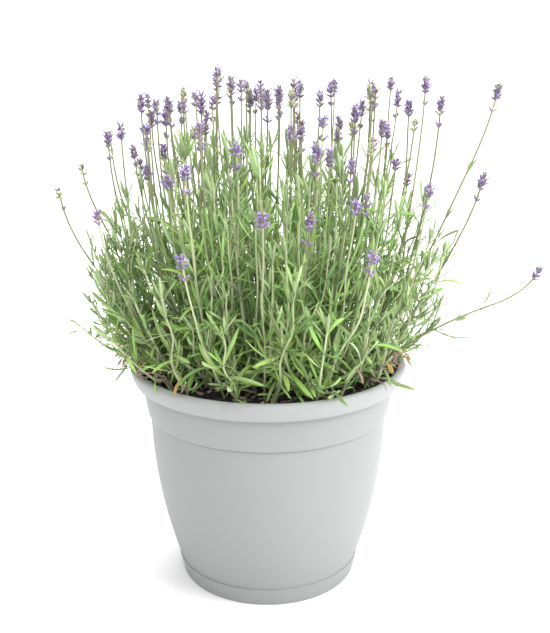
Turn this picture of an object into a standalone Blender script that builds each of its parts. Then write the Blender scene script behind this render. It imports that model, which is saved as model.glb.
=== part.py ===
"""A lavender plant in a round bell-shaped plastic pot.

The origin is the centre of the pot's underside, on the plane that it stands on. +Z is up, and the
side with the stalks that lean furthest forward faces -Y. The pot and its soil are turned shapes.
Every stem stands on the soil in its own place and is one closed solid: a leafy shoot is a four-sided
stem whose side faces grow out into blades, and a flower stalk is a thin tube that swells into the
rings of its spike.
"""

import math
import random

import bmesh
import bpy
from mathutils import Matrix, Vector
from mathutils.bvhtree import BVHTree

# Driving dimensions of the pot and the soil, in metres
LIP_RADIUS = 0.1505
LIP_TOP = 0.2475
LIP_HEIGHT = 0.0195
LIP_WIDTH = 0.009
LIP_FLARE = 0.0053
LIP_ROUND = 0.004
COLLAR_LOW = 0.1912
COLLAR_RADIUS = 0.1370
COLLAR_CURVE = 0.0045
BODY_TOP_RADIUS = 0.1298
FOOT_HEIGHT = 0.0205
FOOT_RADIUS = 0.1026
BASE_RADIUS = 0.0985
BASE_ROUND = 0.0015
STEP = 0.0012
WALL = 0.003
FLOOR = 0.0045
TURNS = 48
DRAIN_HOLES = 6
DRAIN_RADIUS = 0.005
DRAIN_CIRCLE = 0.062
SOIL_EDGE = 0.229
SOIL_MOUND = 0.007
GAP = 0.0003

# Driving dimensions of the plant, in metres
CROWN_RADIUS = 0.116
ROOT_SHARE = 0.70
FRONT_DRAW = 0.86
STEM_RADIUS = 0.0011
SPIKE_RADIUS = 0.0050
SPIKE_LENGTH = 0.021
WHORL_RADIUS = 0.0040
WHORL_DROP = 0.012
WHORL_HALF = 0.005
SHOOT_WIDTH = 0.0024
BARE_STEM = 0.030
LEAF_SPACING = 0.024
LEAF_BASE = 0.003
LEAF_LENGTH = 0.036
LEAF_WIDTH = 0.0042
LEAF_THICKNESS = 0.0009
TWIG_RADIUS = 0.0013
TWIG_ARCH = 0.022
SCATTER = 0.002
MORE_SCATTER = 0.0006
TRIES = 60
SEED = 7

# How wide a spike is along its length, both as fractions: its rings of flowers and their waists
SPIKE_SHAPE = ((0.0, 0.24), (0.18, 0.95), (0.40, 0.80), (0.62, 1.0), (1.0, 0.14))

# The tallest and the outermost flower spikes: x, y, z of each tip, and how far the stalk bows out
# on its way up, as a fraction of its length. A stalk with a negative bow goes up first and leans later.
SPIKE_TIPS = (
    (0.240, 0.020, 0.534, 0.00),
    (0.221, -0.020, 0.448, 0.04),
    (0.282, -0.030, 0.351, -0.16),
    (0.166, 0.030, 0.542, 0.06),
    (0.174, -0.020, 0.523, 0.07),
    (0.138, 0.100, 0.540, 0.06),
    (0.105, 0.000, 0.537, 0.05),
    (0.152, 0.140, 0.525, 0.06),
    (0.078, 0.150, 0.537, 0.05),
    (0.086, -0.050, 0.516, 0.05),
    (0.054, -0.060, 0.505, 0.04),
    (0.034, 0.030, 0.537, 0.03),
    (0.012, 0.160, 0.520, 0.05),
    (0.000, -0.005, 0.529, 0.02),
    (-0.020, 0.095, 0.526, 0.04),
    (-0.043, 0.140, 0.541, 0.03),
    (-0.051, 0.015, 0.551, 0.05),
    (-0.066, -0.020, 0.526, 0.06),
    (-0.100, 0.110, 0.515, 0.05),
    (-0.099, -0.045, 0.514, 0.05),
    (-0.133, 0.025, 0.523, 0.07),
    (-0.117, -0.060, 0.498, 0.05),
    (-0.177, 0.080, 0.483, 0.06),
    (-0.146, -0.030, 0.496, 0.08),
    (-0.194, 0.000, 0.455, -0.02),
    (-0.212, -0.030, 0.433, 0.02),
    (-0.163, -0.085, 0.417, 0.06),
    (-0.073, -0.130, 0.465, 0.07),
    (-0.028, -0.095, 0.481, 0.05),
    (-0.003, -0.170, 0.428, 0.05),
    (-0.072, -0.190, 0.395, 0.05),
    (0.094, -0.170, 0.394, 0.06),
    (0.081, -0.135, 0.435, 0.05),
    (0.158, -0.065, 0.440, 0.05),
)

# The leafy shoots: how far round from +X each one leans, in degrees, how far out from the axis its
# tip is, and how high. The outer ones reach past the lip, and the last four fill the crown.
SHOOT_TIPS = (
    (205, 0.178, 0.345),
    (190, 0.160, 0.400),
    (222, 0.172, 0.322),
    (243, 0.170, 0.350),
    (258, 0.168, 0.322),
    (270, 0.165, 0.365),
    (284, 0.168, 0.326),
    (300, 0.165, 0.350),
    (318, 0.170, 0.325),
    (336, 0.165, 0.385),
    (354, 0.170, 0.345),
    (15, 0.160, 0.400),
    (40, 0.170, 0.360),
    (65, 0.170, 0.400),
    (90, 0.175, 0.350),
    (115, 0.170, 0.400),
    (140, 0.170, 0.360),
    (165, 0.165, 0.400),
    (20, 0.070, 0.430),
    (150, 0.075, 0.430),
    (255, 0.075, 0.420),
    (80, 0.030, 0.445),
)
SHOOT_BOW = 0.07

# The leafless old twigs that lean out over the lip, each with its tip
TWIGS = (("dry_twig_left", (-0.128, -0.105, 0.262)), ("dry_twig_right", (0.140, -0.075, 0.262)))

chance = random.Random(SEED)


def clear_scene():
    for obj in list(bpy.data.objects):
        bpy.data.objects.remove(obj, do_unlink=True)


def finish(name, colour, roughness):
    material = bpy.data.materials.new(name)
    material.use_nodes = True
    shader = material.node_tree.nodes["Principled BSDF"]
    shader.inputs["Base Color"].default_value = (*colour, 1.0)
    shader.inputs["Roughness"].default_value = roughness
    shader.inputs["Metallic"].default_value = 0.0
    return material


def add_object(name, bm, material):
    """The mesh as an object of the scene, shaded smooth with its sharp edges kept."""
    bmesh.ops.recalc_face_normals(bm, faces=bm.faces)
    mesh = bpy.data.meshes.new(name)
    bm.to_mesh(mesh)
    bm.free()
    mesh.shade_smooth()
    mesh.set_sharp_from_angle(angle=math.radians(35))
    mesh.materials.append(material)
    obj = bpy.data.objects.new(name, mesh)
    bpy.context.scene.collection.objects.link(obj)
    return obj


def steps(first, last, count):
    return [first + (last - first) * i / count for i in range(count + 1)]


def turned(profile):
    """A closed solid of revolution about Z; profile runs from the axis round to the axis again."""
    bm = bmesh.new()
    rings = []
    for radius, height in profile:
        if radius == 0.0:
            rings.append([bm.verts.new((0.0, 0.0, height))])
            continue
        turns = [2 * math.pi * i / TURNS for i in range(TURNS)]
        rings.append([bm.verts.new((radius * math.cos(a), radius * math.sin(a), height)) for a in turns])
    for low, high in zip(rings, rings[1:]):
        for i in range(TURNS):
            j = (i + 1) % TURNS
            corners = [low[i % len(low)], low[j % len(low)], high[j % len(high)], high[i % len(high)]]
            bm.faces.new(list(dict.fromkeys(corners)))
    return bm


def body_radius(z):
    """The bell wall: its radius grows as a parabola from the foot band up to the collar."""
    up = (z - FOOT_HEIGHT) / (COLLAR_LOW - FOOT_HEIGHT)
    foot = FOOT_RADIUS - STEP
    return BODY_TOP_RADIUS - (BODY_TOP_RADIUS - foot) * (1 - up) ** 2


def collar_radius(z):
    up = (z - COLLAR_LOW) / (LIP_TOP - LIP_HEIGHT - COLLAR_LOW)
    return COLLAR_RADIUS - COLLAR_CURVE * (1 - math.sin(up * math.pi / 2))


def lip_outline():
    """The flared lip, from its lower outer edge over the rounded top to the inner edge."""
    low = LIP_TOP - LIP_HEIGHT
    side = [(LIP_RADIUS - LIP_FLARE * (1 - t) ** 1.6, low + (LIP_HEIGHT - LIP_ROUND) * t)
            for t in (0.0, 0.35, 0.7, 1.0)]
    middle = LIP_RADIUS - LIP_WIDTH / 2
    top = [(middle + LIP_WIDTH / 2 * math.cos(a), LIP_TOP - LIP_ROUND + LIP_ROUND * math.sin(a))
           for a in steps(0.0, math.pi, 5)[1:]]
    return side + top


def inside_wall():
    """The pot's inner face, from the lip's inner edge down to the floor."""
    collar_top = LIP_TOP - LIP_HEIGHT - LIP_ROUND
    wall = [(LIP_RADIUS - LIP_WIDTH, LIP_TOP - 0.006), (collar_radius(collar_top) - WALL, collar_top)]
    wall += [(body_radius(z) - WALL, z) for z in steps(COLLAR_LOW - LIP_ROUND, FOOT_HEIGHT, 5)]
    return wall + [(BASE_RADIUS - WALL, FLOOR + 0.002), (BASE_RADIUS - WALL - 0.002, FLOOR)]


def pot_profile():
    edge = GAP
    outside = [(0.0, 0.0), (BASE_RADIUS - BASE_ROUND, 0.0), (BASE_RADIUS, BASE_ROUND)]
    outside += [(FOOT_RADIUS, FOOT_HEIGHT)]
    outside += [(body_radius(z), z) for z in steps(FOOT_HEIGHT + edge, COLLAR_LOW - edge, 7)]
    outside += [(collar_radius(z), z) for z in steps(COLLAR_LOW, LIP_TOP - LIP_HEIGHT, 3)]
    return outside + lip_outline() + inside_wall() + [(0.0, FLOOR)]


def soil_edge_radius():
    (r_high, high), (r_low, low) = inside_wall()[:2]
    return r_low + (r_high - r_low) * (SOIL_EDGE - low) / (high - low) - 2 * GAP


def soil_height(x, y):
    out = math.hypot(x, y) / soil_edge_radius()
    return SOIL_EDGE + SOIL_MOUND * (1 - out ** 2)


def make_pot():
    pot = add_object("pot", turned(pot_profile()), finish("pot_plastic", (0.50, 0.55, 0.54), 0.55))
    for i in range(DRAIN_HOLES):
        # A third of a step off the fan's own edges, so that no hole is centred on an edge
        turn = 2 * math.pi * (i + 1 / 3) / DRAIN_HOLES
        place = Matrix.Translation((DRAIN_CIRCLE * math.cos(turn), DRAIN_CIRCLE * math.sin(turn), FLOOR / 2))
        bm = bmesh.new()
        bmesh.ops.create_cone(bm, cap_ends=True, segments=12, radius1=DRAIN_RADIUS, radius2=DRAIN_RADIUS,
                              depth=4 * FLOOR, matrix=place)
        cutter = add_object(f"drain_cutter_{i}", bm, pot.active_material)
        cutter.hide_render = True
        cutter.display_type = "WIRE"
        drain = pot.modifiers.new(f"drain_{i}", "BOOLEAN")
        drain.operation = "DIFFERENCE"
        drain.object = cutter
    return pot


def make_soil():
    """Fills the pot from its floor to just under the lip, a hair clear of the wall all the way."""
    wall = [(r - 2 * GAP, z + GAP) for r, z in reversed(inside_wall()[1:])] + [(soil_edge_radius(), SOIL_EDGE)]
    top = [(r, soil_height(r, 0.0)) for r in steps(soil_edge_radius(), 0.0, 4)[1:]]
    return add_object("soil", turned([(0.0, FLOOR + GAP)] + wall + top),
                      finish("potting_soil", (0.030, 0.021, 0.016), 0.95))


def curve_frame(root, bend, tip, t, side):
    """The point at t on the curve, and the stem's own side, front and forward directions there."""
    point = root * (1 - t) ** 2 + bend * (2 * t * (1 - t)) + tip * t ** 2
    forward = ((bend - root) * (1 - t) + (tip - bend) * t).normalized()
    front = forward.cross(side).normalized()
    return point, front.cross(forward), front, forward


def ring(bm, place, radius, count):
    point, side, front, _ = place
    turns = [2 * math.pi * (i + 0.5) / count for i in range(count)]
    return [bm.verts.new(point + side * (radius * math.cos(a)) + front * (radius * math.sin(a))) for a in turns]


def join_rings(bm, low, high, skipped=()):
    for i in range(len(low)):
        if i not in skipped:
            j = (i + 1) % len(low)
            bm.faces.new((low[i], low[j], high[j], high[i]))


def tube(root, bend, tip, outline, side):
    """A closed five-sided tube; outline gives how far along each ring is and its radius."""
    bm = bmesh.new()
    rings = [ring(bm, curve_frame(root, bend, tip, t, side), radius, 5) for t, radius in outline]
    for low, high in zip(rings, rings[1:]):
        join_rings(bm, low, high)
    bm.faces.new(rings[0])
    bm.faces.new(rings[-1])
    return bm


def flower_stalk(root, bend, tip, lower_whorl):
    """A thin stem, and the spike at its end: a row of swellings with waists between them."""
    unit = 1 / ((bend - root).length + (tip - bend).length)
    spike = SPIKE_LENGTH * unit
    outline = [(1 - spike + spike * along, SPIKE_RADIUS * wide) for along, wide in SPIKE_SHAPE]
    if lower_whorl:
        middle = 1 - spike - WHORL_DROP * unit
        half = WHORL_HALF * unit
        whorl = [(middle - half, STEM_RADIUS), (middle, WHORL_RADIUS), (middle + half, STEM_RADIUS)]
        outline = whorl + outline
    stem = [(t, STEM_RADIUS) for t in steps(0.0, outline[0][0], 6)[:-1]]
    return tube(root, bend, tip, stem + outline, Vector((1.0, 0.2, 0.0)))


def grow_leaf(bm, base, outward, upward, length, width):
    """Draws one side face of the stem out into a thin pointed blade."""
    centre = sum((v.co for v in base), Vector()) / 4
    across = outward.cross(upward).normalized()
    away = (outward * 0.72 + upward * 0.69).normalized()
    lift = away.cross(across).normalized()
    if lift.dot(upward) < 0:
        lift = -lift
    middle = centre + away * (length * 0.5)
    edge = []
    for vert in base:
        sideways = math.copysign(width / 2, (vert.co - centre).dot(across))
        above = math.copysign(LEAF_THICKNESS / 2, (vert.co - centre).dot(upward))
        edge.append(bm.verts.new(middle + across * sideways + lift * above))
    join_rings(bm, base, edge)
    point = bm.verts.new(centre + away * length + outward * (length * 0.10))
    for i in range(4):
        bm.faces.new((edge[i], edge[(i + 1) % 4], point))


def leafy_shoot(root, bend, tip, size):
    """A four-sided stem with opposite pairs of leaves, each pair turned a quarter from the last."""
    length = (bend - root).length + (tip - bend).length
    pairs = max(2, round((length - BARE_STEM) / LEAF_SPACING))
    radius = SHOOT_WIDTH / math.sqrt(2)
    side = Vector((math.cos(root.x * 90), math.sin(root.y * 90), 0.0)).normalized()
    bm = bmesh.new()
    below = ring(bm, curve_frame(root, bend, tip, 0.0, side), radius, 4)
    bm.faces.new(below)
    for pair in range(pairs):
        t = (BARE_STEM + pair * LEAF_SPACING) / length
        low = ring(bm, curve_frame(root, bend, tip, t, side), radius, 4)
        place = curve_frame(root, bend, tip, t + LEAF_BASE / length, side)
        high = ring(bm, place, radius, 4)
        join_rings(bm, below, low)
        grown = (0, 2) if pair % 2 else (1, 3)
        join_rings(bm, low, high, grown)
        taper = 1 - 0.35 * pair / pairs
        for face in grown:
            base = [low[face], low[(face + 1) % 4], high[(face + 1) % 4], high[face]]
            out = sum((v.co for v in base), Vector()) / 4 - place[0]
            out = (out - place[3] * out.dot(place[3])).normalized()
            grow_leaf(bm, base, out, place[3], LEAF_LENGTH * size * taper, LEAF_WIDTH * taper)
        below = high
    peak = bm.verts.new(tip)
    for i in range(4):
        bm.faces.new((below[i], below[(i + 1) % 4], peak))
    return bm


def standing(x, y):
    return Vector((x, y, soil_height(x, y) + 2 * GAP))


def crown_root(tip, spread):
    """Where a stem leaves the soil: on the line from the axis out to its tip, within the crown and
    drawn back a little in front, with some scatter."""
    flat = Vector((tip.x, tip.y)) * ROOT_SHARE
    if flat.length > CROWN_RADIUS:
        flat = flat.normalized() * CROWN_RADIUS
    if flat.y < 0:
        flat.y *= FRONT_DRAW
    flat += Vector((chance.uniform(-spread, spread), chance.uniform(-spread, spread)))
    return standing(flat.x, flat.y)


def bowed(root, tip, bow):
    """The curve's middle control point, pushed outward by the bow, so that the stem leans out first
    and then grows up."""
    outward = Vector((tip.x - root.x, tip.y - root.y, 0.0)).normalized()
    return root.lerp(tip, 0.5) + outward * ((tip - root).length * bow)


def surface(bm):
    return BVHTree.FromBMesh(bm, epsilon=GAP)


def place_clear(grow, grown, name, material):
    """Calls grow with more and more scatter until its mesh touches nothing that stands already."""
    for attempt in range(TRIES):
        bm = grow(SCATTER + MORE_SCATTER * attempt)
        tree = surface(bm)
        if not any(tree.overlap(other) for other in grown):
            grown.append(tree)
            return add_object(name, bm, material)
        bm.free()
    raise RuntimeError(f"{name} finds no free place in {TRIES} tries")


def make_stalks(grown):
    stem_green = finish("flower_stalk", (0.20, 0.27, 0.16), 0.7)
    for number, (x, y, z, bow) in enumerate(SPIKE_TIPS, 1):

        def grow(spread, tip=Vector((x, y, z)), bow=bow, lower_whorl=number % 3 != 0):
            root = crown_root(tip, spread)
            return flower_stalk(root, bowed(root, tip, bow), tip, lower_whorl)

        place_clear(grow, grown, f"flower_stalk_{number:02d}", stem_green)


def make_shoots(grown):
    leaf_green = finish("leaf", (0.16, 0.27, 0.10), 0.65)
    for number, (turn, out, high) in enumerate(SHOOT_TIPS, 1):

        def grow(spread, turn=turn, out=out, high=high):
            angle = math.radians(turn) + chance.uniform(-spread, spread) / CROWN_RADIUS
            tip = Vector((out * math.cos(angle), out * math.sin(angle), high))
            root = crown_root(tip, spread)
            return leafy_shoot(root, bowed(root, tip, SHOOT_BOW), tip, chance.uniform(0.85, 1.1))

        place_clear(grow, grown, f"leafy_shoot_{number:02d}", leaf_green)


def make_twigs(grown):
    bark = finish("dry_twig", (0.22, 0.13, 0.11), 0.85)
    outline = [(t, TWIG_RADIUS * (1 - t / 2)) for t in steps(0.0, 1.0, 7)]
    for name, end in TWIGS:

        def grow(spread, tip=Vector(end)):
            inner = 0.72 + chance.uniform(-spread, spread)
            root = standing(tip.x * inner, tip.y * inner)
            bend = root.lerp(tip, 0.45) + Vector((0.0, 0.0, TWIG_ARCH))
            return tube(root, bend, tip, outline, Vector((0.3, 1.0, 0.0)))

        place_clear(grow, grown, name, bark)


def main():
    clear_scene()
    grown = []
    for obj in (make_pot(), make_soil()):
        bm = bmesh.new()
        bm.from_mesh(obj.data)
        grown.append(surface(bm))
        bm.free()
    make_stalks(grown)
    make_twigs(grown)
    make_shoots(grown)


main()
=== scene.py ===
# %% [markdown]
# # A potted lavender, made by rules
# This lesson dresses a plain solid model of a lavender in its pot. The solid model, here called the
# frame, says where everything is: the pot, the soil, and the line of each main stem. We keep those
# places and replace every solid by a finished piece: a turned plastic pot, rough compost, stems with
# opposite pairs of narrow leaves, and flower spikes built from whorls of calyces and small florets.

# %% Load the frame
import math

import bmesh
import bpy
import numpy as np
from mathutils import Matrix, Vector


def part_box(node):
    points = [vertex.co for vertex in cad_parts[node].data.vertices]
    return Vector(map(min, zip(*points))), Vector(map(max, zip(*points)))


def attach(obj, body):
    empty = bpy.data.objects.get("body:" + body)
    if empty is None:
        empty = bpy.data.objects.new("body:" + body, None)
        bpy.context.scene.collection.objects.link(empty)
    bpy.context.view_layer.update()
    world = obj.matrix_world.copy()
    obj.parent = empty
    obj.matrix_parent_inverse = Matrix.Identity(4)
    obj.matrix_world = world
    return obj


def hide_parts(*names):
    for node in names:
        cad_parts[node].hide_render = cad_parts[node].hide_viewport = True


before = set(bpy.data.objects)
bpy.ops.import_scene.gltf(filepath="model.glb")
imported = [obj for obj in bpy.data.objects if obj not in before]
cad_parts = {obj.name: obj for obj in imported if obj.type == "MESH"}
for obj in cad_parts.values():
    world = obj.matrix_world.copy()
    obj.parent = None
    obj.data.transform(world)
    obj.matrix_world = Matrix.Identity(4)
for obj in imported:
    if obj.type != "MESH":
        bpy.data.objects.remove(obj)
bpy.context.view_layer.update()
print("solids in the frame:", len(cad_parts))


# %% [markdown]
# ## The camera
# A camera is placed first, so that everything else can be judged through it. It stands a little under
# a metre in front of the pot, at the height of the tallest flowers, and looks slightly down. We give
# its aim as a tilt below level. Its lens is set by how many widths of the picture lie between lens and
# picture plane, which is the same as choosing a field of view.

# %% Camera
CAMERA_PLACE = (0.0077, -0.9445, 0.5526)
CAMERA_TILT = math.radians(15.36)
LENS_WIDTHS = 1.636
SENSOR_WIDTH = 36.0

camera_data = bpy.data.cameras.new("camera")
camera_data.sensor_fit = "HORIZONTAL"
camera_data.sensor_width = SENSOR_WIDTH
camera_data.lens = LENS_WIDTHS * SENSOR_WIDTH
camera = bpy.data.objects.new("camera", camera_data)
camera.location = CAMERA_PLACE
camera.rotation_euler = (math.pi / 2 - CAMERA_TILT, 0.0, 0.0)
bpy.context.scene.collection.objects.link(camera)
bpy.context.scene.camera = camera
print("lens:", round(camera_data.lens, 1), "mm")


# %% [markdown]
# ## Shader arithmetic
# A finish is a small network of shader nodes. Wiring it by hand is slow to read, so we wrap one output
# socket in a class and give it the ordinary operators: writing `1 - mask * 0.5` adds the two Math nodes.
# Any other node comes from `Finish.node`, which takes its type, its settings and its input values.

# %% Wires and finishes
class Wire:
    """One output of a shader node. Arithmetic on it adds Math nodes to its finish."""

    def __init__(self, finish, socket):
        self.finish, self.socket = finish, socket

    def math(self, operation, *values):
        return self.finish.node("Math", {"operation": operation}, dict(enumerate(values)))

    def __add__(self, other):
        return self.math("ADD", self, other)

    def __radd__(self, other):
        return self.math("ADD", other, self)

    def __sub__(self, other):
        return self.math("SUBTRACT", self, other)

    def __rsub__(self, other):
        return self.math("SUBTRACT", other, self)

    def __mul__(self, other):
        return self.math("MULTIPLY", self, other)

    def __rmul__(self, other):
        return self.math("MULTIPLY", other, self)


class Finish:
    """A material with one Principled shader, and short ways to feed it."""

    def __init__(self, name, **constants):
        self.material = bpy.data.materials.new(name)
        self.material.use_nodes = True
        self.tree = self.material.node_tree
        self.tree.nodes.clear()
        self.shader = self.tree.nodes.new("ShaderNodeBsdfPrincipled")
        output = self.tree.nodes.new("ShaderNodeOutputMaterial")
        self.tree.links.new(self.shader.outputs[0], output.inputs[0])
        for socket, value in constants.items():
            self.shader.inputs[socket.replace("_", " ")].default_value = value

    def feed(self, socket, value):
        if isinstance(value, Wire):
            self.tree.links.new(value.socket, socket)
        else:
            socket.default_value = value

    def node(self, kind, settings=None, inputs=None, output=0):
        made = self.tree.nodes.new("ShaderNode" + kind)
        for name, value in (settings or {}).items():
            if name == "stops":
                self.set_stops(made.color_ramp, value)
            else:
                setattr(made, name, value)
        for key, value in (inputs or {}).items():
            self.feed(made.inputs[key], value)
        return Wire(self, made.outputs[output])

    def set_stops(self, ramp, stops):
        while len(ramp.elements) < len(stops):
            ramp.elements.new(1.0)
        for element, (place, colour) in zip(ramp.elements, stops):
            element.position = place
            element.color = (*colour, 1.0)

    def mix(self, factor, first, second):
        """A colour between two colours. Colours go through Mix, because Math would turn them grey."""
        return self.node("Mix", {"data_type": "RGBA"}, {0: factor, 6: first, 7: second}, 2)

    def noise(self, where, scale, detail=3.0, roughness=0.55):
        values = {"Vector": where, "Scale": scale, "Detail": detail, "Roughness": roughness}
        return self.node("TexNoise", {}, values)

    def between(self, value, low, high):
        """0 up to low, 1 from high, and a smooth step between them."""
        values = {"Value": value, "From Min": low, "From Max": high}
        return self.node("MapRange", {"interpolation_type": "SMOOTHSTEP"}, values)

    def finish(self, colour, roughness, height=None, depth=0.001, strength=0.6):
        self.feed(self.shader.inputs["Base Color"], colour)
        self.feed(self.shader.inputs["Roughness"], roughness)
        if height is not None:
            bump = self.node("Bump", {}, {"Height": height, "Distance": depth, "Strength": strength})
            self.feed(self.shader.inputs["Normal"], bump)
        return self.material


# %% [markdown]
# ## The stage and the light
# The plant stands on a plain pale floor that curves up far behind it, under soft studio light. Large
# area lights give soft shadows. The strongest is at the right and a little in front, so the pot turns
# from light on its right side to grey on its left. One light is for the wall behind alone, and the
# world lifts the shadows evenly.

# %% Stage
def paper_finish():
    finish = Finish("floor_paper", Specular_IOR_Level=0.1)
    where = finish.node("TexCoord", output=3)
    grain = finish.noise(where, 3.0)
    return finish.finish(finish.mix(grain, (0.93, 0.93, 0.93, 1), (0.95, 0.95, 0.95, 1)), 0.9)


FLOOR_HALF, FLOOR_BACK = 4.0, 2.6
COVE_RADIUS, COVE_STEPS, WALL_HEIGHT = 0.8, 12, 3.0


def object_of(name, points, faces):
    """A new object in the scene, from its corner points and its faces."""
    mesh = bpy.data.meshes.new(name)
    mesh.from_pydata([tuple(p) for p in points], [], faces)
    made = bpy.data.objects.new(name, mesh)
    bpy.context.scene.collection.objects.link(made)
    return made


def make_floor():
    """A flat sheet that sweeps up into a wall behind, drawn as a line of points and widened."""
    line = [(-FLOOR_HALF, 0.0), (FLOOR_BACK, 0.0)]
    for step in range(1, COVE_STEPS + 1):
        turn = math.pi / 2 * step / COVE_STEPS
        line.append((FLOOR_BACK + COVE_RADIUS * math.sin(turn), COVE_RADIUS * (1 - math.cos(turn))))
    line.append((FLOOR_BACK + COVE_RADIUS, WALL_HEIGHT))
    points = [(x, y, z) for y, z in line for x in (-FLOOR_HALF, FLOOR_HALF)]
    faces = [(2 * i, 2 * i + 1, 2 * i + 3, 2 * i + 2) for i in range(len(line) - 1)]
    floor = object_of("floor", points, faces)
    floor.data.shade_smooth()
    floor.data.materials.append(paper_finish())


def add_light(name, place, target, size, power):
    """A round area light at a place, turned to face the target."""
    data = bpy.data.lights.new(name, "AREA")
    data.shape = "DISK"
    data.size = size
    data.energy = power
    light = bpy.data.objects.new(name, data)
    light.location = place
    light.rotation_euler = (Vector(target) - Vector(place)).to_track_quat("-Z", "Y").to_euler()
    bpy.context.scene.collection.objects.link(light)


make_floor()
MIDDLE, WORLD_LIGHT = (0.0, 0.0, 0.28), 0.94
add_light("key_right", (2.0, -0.9, 1.5), MIDDLE, 1.8, 58.0)
add_light("front_fill", (-0.2, -1.7, 1.4), MIDDLE, 1.0, 10.0)
add_light("top_soft", (0.2, 0.3, 2.3), MIDDLE, 1.8, 52.0)
add_light("backdrop", (0.0, 1.3, 2.6), (0.0, 3.2, 0.6), 1.6, 40.0)
world = bpy.data.worlds.new("studio")
world.use_nodes = True
background = world.node_tree.nodes["Background"]
background.inputs["Color"].default_value = (1.0, 1.0, 1.0, 1.0)
background.inputs["Strength"].default_value = WORLD_LIGHT
bpy.context.scene.world = world
bpy.context.scene.view_settings.view_transform = "Standard"
print("stage and lights are up")


# %% [markdown]
# ## Lofts: one way to make every form
# A leaf, a stem, a calyx and a chip of bark are all the same kind of form: a row of rings joined into
# a closed skin. `loft` takes many such forms at once as one array of points, which is far faster than
# making them one by one. It also lays each form on one tile of a sheet of 8 by 9 tiles. The tile's row
# says what the tissue is, and its column only makes one leaf differ from the next.

# %% Lofts
COLUMNS, TISSUES = 8, 9
TILE_EDGE = 0.06
# LEAF_DEEP is a darker leaf green, and it also serves as painted shade: its dark leaves deepen the gaps among
# the leaves.
LEAF_DEEP, LEAF_SAGE, LEAF_FRESH, STEM, CALYX, FLORET, DRY, BARK, STALK = range(TISSUES)


class Growth:
    """Collects lofted forms and turns them into one mesh object."""

    def __init__(self):
        self.points, self.quads, self.places, self.count = [], [], [], 0

    def loft(self, rings, rows, random, across=None, along=None):
        """rings has the shape forms x rings x points x 3; rows is each form's row of the tile sheet.
        The ends are closed by strips of four-sided faces."""
        forms, stations, sides, _ = rings.shape
        across = np.linspace(0, 1, sides + 1) if across is None else np.asarray(across)
        along = np.linspace(0, 1, stations) if along is None else np.asarray(along)
        k, j = np.meshgrid(np.arange(stations - 1), np.arange(sides), indexing="ij")
        k, j = k.ravel(), j.ravel()
        n = (j + 1) % sides
        skin = np.stack([k * sides + j, k * sides + n, (k + 1) * sides + n, (k + 1) * sides + j], 1)
        u = np.stack([across[j], across[j + 1], across[j + 1], across[j]], 1)
        v = np.stack([along[k], along[k], along[k + 1], along[k + 1]], 1)
        caps = [(i, i + 1, sides - 2 - i, sides - 1 - i) for i in range(sides // 2 - 1)]
        far = np.array(caps) + (stations - 1) * sides
        near = np.array(caps)[:, ::-1]
        quads = np.concatenate([skin, near, far])
        u = np.concatenate([u, np.full((2 * len(caps), 4), 0.5)])
        v = np.concatenate([v, np.full((len(caps), 4), along[0]), np.full((len(caps), 4), along[-1])])
        column = random.integers(0, COLUMNS, forms)
        rows = np.broadcast_to(rows, forms)
        inner = 1 - 2 * TILE_EDGE
        u = (column[:, None, None] + TILE_EDGE + inner * u[None]) / COLUMNS
        v = (rows[:, None, None] + TILE_EDGE + inner * v[None]) / TISSUES
        first = self.count + np.arange(forms)[:, None, None] * stations * sides
        self.points.append(rings.reshape(-1, 3))
        self.quads.append((quads[None] + first).reshape(-1, 4))
        self.places.append(np.stack([u, v], -1).reshape(-1, 2))
        self.count += forms * stations * sides

    def mesh(self, name):
        points, quads = np.concatenate(self.points), np.concatenate(self.quads)
        made = bpy.data.meshes.new(name)
        made.vertices.add(len(points))
        made.vertices.foreach_set("co", points.astype(np.float32).ravel())
        made.loops.add(quads.size)
        made.loops.foreach_set("vertex_index", quads.astype(np.int32).ravel())
        made.polygons.add(len(quads))
        made.polygons.foreach_set("loop_start", np.arange(0, quads.size, 4, dtype=np.int32))
        made.update(calc_edges=True)
        sheet = made.uv_layers.new(name="OFBake")
        sheet.data.foreach_set("uv", np.concatenate(self.places).astype(np.float32).ravel())
        made.shade_smooth()
        return made


def add_piece(name, mesh, material, slot, *nodes):
    """The mesh as a piece that rides with the pot and stands for the named solids."""
    mesh.materials.append(material)
    piece = bpy.data.objects.new(name, mesh)
    bpy.context.scene.collection.objects.link(piece)
    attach(piece, "root")
    if nodes:
        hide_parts(*nodes)


def unit(vectors):
    return vectors / np.maximum(np.linalg.norm(vectors, axis=-1, keepdims=True), 1e-12)


def round_rings(line, side, radii, sides):
    """Rings round each point of lines: forms x stations x 3 in, forms x stations x sides x 3 out."""
    forward = unit(np.gradient(line, axis=1))
    front = unit(np.cross(forward, side))
    right = np.cross(front, forward)
    turns = 2 * np.pi * (np.arange(sides) + 0.5) / sides
    reach = np.broadcast_to(radii, line.shape[:2] + (sides,))[..., None]
    circle = right[:, :, None] * np.cos(turns)[:, None] + front[:, :, None] * np.sin(turns)[:, None]
    return line[:, :, None] + reach * circle


# %% [markdown]
# ## The plant's finish
# Lavender is covered in fine down, so its green looks pale and matt, and each tissue has its own
# colour. The finish reads the tile sheet: constant colour ramps over the rows give the main colour and
# a second one for the midrib, the underside and the streaks, and the column makes small differences.
# Because every colour depends only on the place on the sheet, it can be baked into one small picture.
# Across a leaf's tile the upper side comes first, with the midrib in its middle, and then the underside.

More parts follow.
